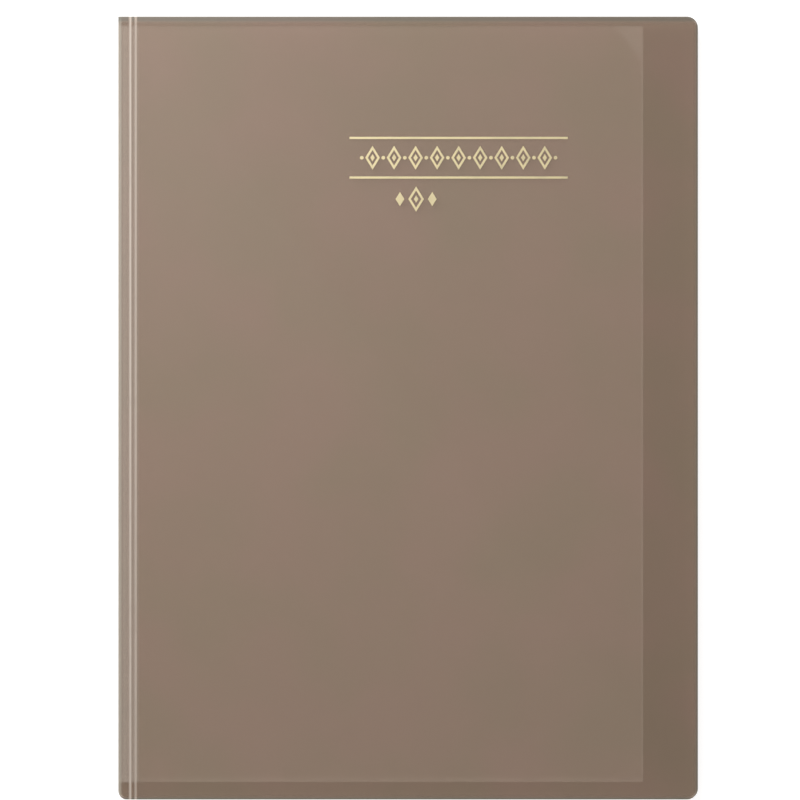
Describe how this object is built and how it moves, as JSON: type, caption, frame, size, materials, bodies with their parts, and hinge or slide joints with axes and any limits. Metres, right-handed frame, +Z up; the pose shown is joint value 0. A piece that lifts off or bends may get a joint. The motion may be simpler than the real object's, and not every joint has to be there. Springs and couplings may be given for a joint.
{
  "type": "pocket display book",
  "caption": "Display book with a creased translucent plastic cover, clear film pockets open at the head and a gold foil title band; the cover opens flat and the pockets fan out.",
  "frame": {"origin": "under the middle of the closed book, on the surface it lies on", "axes": "+X from the spine to the fore-edge, +Y from the foot to the head, +Z up through the front cover"},
  "size_m": [0.237, 0.32, 0.0082],
  "materials": {
    "cover_sheet": "smoky translucent polypropylene, fine matt grain",
    "binding": "milky polypropylene strip",
    "film": "clear polypropylene film with a soft sheen",
    "weld": "heat-welded film edge, slightly cloudy",
    "foil": "hot-stamped pale gold foil"
  },
  "bodies": {
    "back_cover": {"back_cover_panel": "cover_sheet"},
    "spine": {"spine_panel": "cover_sheet", "binding_strip": "binding", "pocket_05_front_film": "film", "pocket_05_back_film": "film", "pocket_05_welds": "weld", "pocket_06_front_film": "film", "pocket_06_back_film": "film", "pocket_06_welds": "weld"},
    "front_cover": {"front_cover_panel": "cover_sheet", "title_rules": "foil", "title_band": "foil", "tail_ornament": "foil"},
    "pocket_01": {"pocket_01_front_film": "film", "pocket_01_back_film": "film", "pocket_01_welds": "weld"},
    "pocket_02": {"pocket_02_front_film": "film", "pocket_02_back_film": "film", "pocket_02_welds": "weld"},
    "pocket_03": {"pocket_03_front_film": "film", "pocket_03_back_film": "film", "pocket_03_welds": "weld"},
    "pocket_04": {"pocket_04_front_film": "film", "pocket_04_back_film": "film", "pocket_04_welds": "weld"},
    "pocket_07": {"pocket_07_front_film": "film", "pocket_07_back_film": "film", "pocket_07_welds": "weld"},
    "pocket_08": {"pocket_08_front_film": "film", "pocket_08_back_film": "film", "pocket_08_welds": "weld"},
    "pocket_09": {"pocket_09_front_film": "film", "pocket_09_back_film": "film", "pocket_09_welds": "weld"},
    "pocket_10": {"pocket_10_front_film": "film", "pocket_10_back_film": "film", "pocket_10_welds": "weld"}
  },
  "joints": [
    {"name": "spine_fold", "type": "hinge", "parent": "back_cover", "child": "spine", "pos_m": [-0.11814, 0, 0.00035], "axis": [0, -1, 0], "range_deg": [0, 90]},
    {"name": "front_fold", "type": "hinge", "parent": "spine", "child": "front_cover", "pos_m": [-0.11814, 0, 0.00783], "axis": [0, -1, 0], "range_deg": [0, 90]},
    {"name": "pocket_01_turn", "type": "hinge", "parent": "spine", "child": "pocket_01", "pos_m": [-0.11681, 0, 0.00679], "axis": [0, -1, 0], "range_deg": [0, 75.08]},
    {"name": "pocket_02_turn", "type": "hinge", "parent": "spine", "child": "pocket_02", "pos_m": [-0.11681, 0, 0.00619], "axis": [0, -1, 0], "range_deg": [0, 56.31]},
    {"name": "pocket_03_turn", "type": "hinge", "parent": "spine", "child": "pocket_03", "pos_m": [-0.11681, 0, 0.00559], "axis": [0, -1, 0], "range_deg": [0, 37.54]},
    {"name": "pocket_04_turn", "type": "hinge", "parent": "spine", "child": "pocket_04", "pos_m": [-0.11681, 0, 0.00499], "axis": [0, -1, 0], "range_deg": [0, 18.77]},
    {"name": "pocket_07_turn", "type": "hinge", "parent": "spine", "child": "pocket_07", "pos_m": [-0.11681, 0, 0.00319], "axis": [0, -1, 0], "range_deg": [-18.77, 0]},
    {"name": "pocket_08_turn", "type": "hinge", "parent": "spine", "child": "pocket_08", "pos_m": [-0.11681, 0, 0.00259], "axis": [0, -1, 0], "range_deg": [-37.54, 0]},
    {"name": "pocket_09_turn", "type": "hinge", "parent": "spine", "child": "pocket_09", "pos_m": [-0.11681, 0, 0.00199], "axis": [0, -1, 0], "range_deg": [-56.31, 0]},
    {"name": "pocket_10_turn", "type": "hinge", "parent": "spine", "child": "pocket_10", "pos_m": [-0.11681, 0, 0.00139], "axis": [0, -1, 0], "range_deg": [-75.08, 0]}
  ],
  "couplings": [
    {"joint": "pocket_01_turn", "follows": "front_fold", "ratio": 0.83333},
    {"joint": "pocket_02_turn", "follows": "front_fold", "ratio": 0.625},
    {"joint": "pocket_03_turn", "follows": "front_fold", "ratio": 0.41667},
    {"joint": "pocket_04_turn", "follows": "front_fold", "ratio": 0.20833},
    {"joint": "pocket_07_turn", "follows": "spine_fold", "ratio": -0.20833},
    {"joint": "pocket_08_turn", "follows": "spine_fold", "ratio": -0.41667},
    {"joint": "pocket_09_turn", "follows": "spine_fold", "ratio": -0.625},
    {"joint": "pocket_10_turn", "follows": "spine_fold", "ratio": -0.83333}
  ]
}
